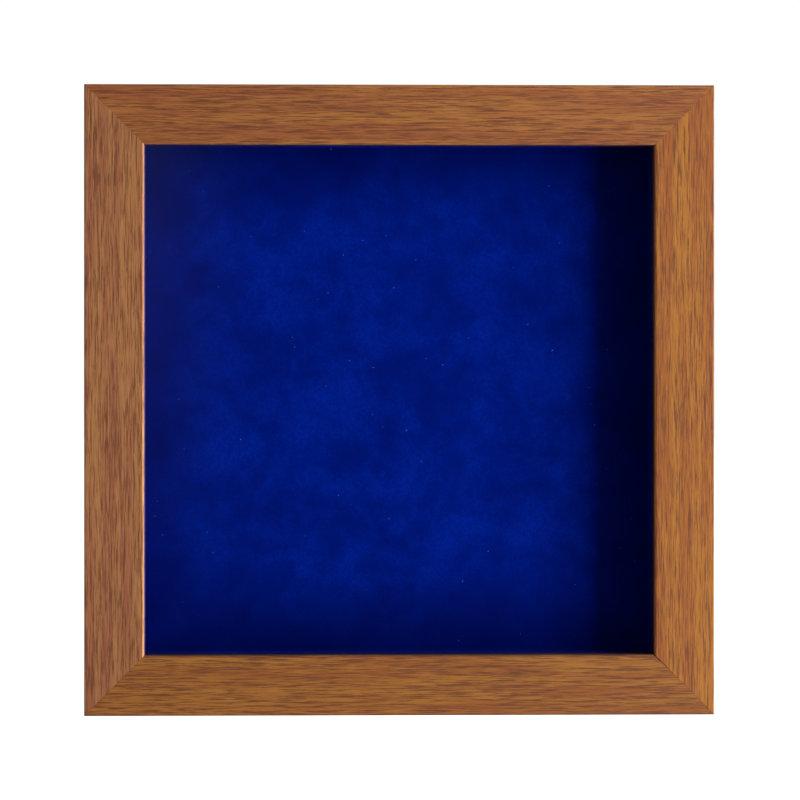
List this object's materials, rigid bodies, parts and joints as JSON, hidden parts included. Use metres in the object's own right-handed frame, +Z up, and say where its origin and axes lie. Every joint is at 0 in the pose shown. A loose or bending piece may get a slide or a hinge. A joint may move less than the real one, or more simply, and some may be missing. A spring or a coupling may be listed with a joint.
{
  "type": "shadow box",
  "caption": "Square mitred oak shadow box: glazed front, velvet-lined cavity and mount, a back panel that lifts out from behind turn buttons, and hanging rings.",
  "frame": {"origin": "centre of the box's width and depth, on the underside of the bottom rail", "axes": "+X to the right seen from the front, the glazed front faces -Y and the back comes off towards +Y, +Z up"},
  "size_m": [0.362, 0.0494, 0.3619],
  "materials": {
    "oak": "satin honey-stained oak",
    "picture_glass": "clear 2 mm picture glass",
    "foam_board": "matt paper over foam",
    "velvet": "royal blue velvet with a short pile",
    "hardboard": "tempered hardboard, smooth face out",
    "zinc_plate": "bright zinc plated",
    "screw_steel": "zinc plated",
    "nickel_wire": "nickel plated",
    "nail_steel": "plain steel",
    "bumper_rubber": "clear soft polyurethane"
  },
  "bodies": {
    "case": {"rail_top": "oak", "rail_right": "oak", "rail_bottom": "oak", "rail_left": "oak", "glazing_pane": "picture_glass", "liner_core_top": "foam_board", "liner_core_right": "foam_board", "liner_core_bottom": "foam_board", "liner_core_left": "foam_board", "liner_velvet_top": "velvet", "liner_velvet_right": "velvet", "liner_velvet_bottom": "velvet", "liner_velvet_left": "velvet", "turn_button_screws": "screw_steel", "hanger_strap_left": "zinc_plate", "hanger_strap_right": "zinc_plate", "hanger_screws": "screw_steel", "wall_bumpers": "bumper_rubber", "corner_v_nails": "nail_steel"},
    "back_assembly": {"mount_board": "foam_board", "mount_velvet": "velvet", "back_panel": "hardboard"},
    "button_top_left": {"turn_button_top_left": "zinc_plate"},
    "button_top_right": {"turn_button_top_right": "zinc_plate"},
    "button_right_upper": {"turn_button_right_upper": "zinc_plate"},
    "button_right_lower": {"turn_button_right_lower": "zinc_plate"},
    "button_bottom_right": {"turn_button_bottom_right": "zinc_plate"},
    "button_bottom_left": {"turn_button_bottom_left": "zinc_plate"},
    "button_left_lower": {"turn_button_left_lower": "zinc_plate"},
    "button_left_upper": {"turn_button_left_upper": "zinc_plate"},
    "ring_left": {"hanger_ring_left": "nickel_wire"},
    "ring_right": {"hanger_ring_right": "nickel_wire"}
  },
  "joints": [
    {"name": "back_slide", "type": "slide", "parent": "case", "child": "back_assembly", "axis": [0, 1, 0], "range_m": [0, 0.08]},
    {"name": "turn_top_left", "type": "hinge", "parent": "case", "child": "button_top_left", "pos_m": [-0.062, 0.02032, 0.34275], "axis": [0, -1, 0], "range_deg": [-90, 0]},
    {"name": "turn_top_right", "type": "hinge", "parent": "case", "child": "button_top_right", "pos_m": [0.062, 0.02032, 0.34275], "axis": [0, 1, 0], "range_deg": [-90, 0]},
    {"name": "turn_right_upper", "type": "hinge", "parent": "case", "child": "button_right_upper", "pos_m": [0.1618, 0.02032, 0.24295], "axis": [0, -1, 0], "range_deg": [-90, 0]},
    {"name": "turn_right_lower", "type": "hinge", "parent": "case", "child": "button_right_lower", "pos_m": [0.1618, 0.02032, 0.11895], "axis": [0, 1, 0], "range_deg": [-90, 0]},
    {"name": "turn_bottom_right", "type": "hinge", "parent": "case", "child": "button_bottom_right", "pos_m": [0.062, 0.02032, 0.01915], "axis": [0, -1, 0], "range_deg": [-90, 0]},
    {"name": "turn_bottom_left", "type": "hinge", "parent": "case", "child": "button_bottom_left", "pos_m": [-0.062, 0.02032, 0.01915], "axis": [0, 1, 0], "range_deg": [-90, 0]},
    {"name": "turn_left_lower", "type": "hinge", "parent": "case", "child": "button_left_lower", "pos_m": [-0.1618, 0.02032, 0.11895], "axis": [0, -1, 0], "range_deg": [-90, 0]},
    {"name": "turn_left_upper", "type": "hinge", "parent": "case", "child": "button_left_upper", "pos_m": [-0.1618, 0.02032, 0.24295], "axis": [0, 1, 0], "range_deg": [-90, 0]},
    {"name": "ring_left_swing", "type": "hinge", "parent": "case", "child": "ring_left", "pos_m": [-0.16695, 0.02187, 0.27695], "axis": [1, 0, 0], "range_deg": [0, 174]},
    {"name": "ring_right_swing", "type": "hinge", "parent": "case", "child": "ring_right", "pos_m": [0.16695, 0.02187, 0.27695], "axis": [1, 0, 0], "range_deg": [0, 174]}
  ]
}
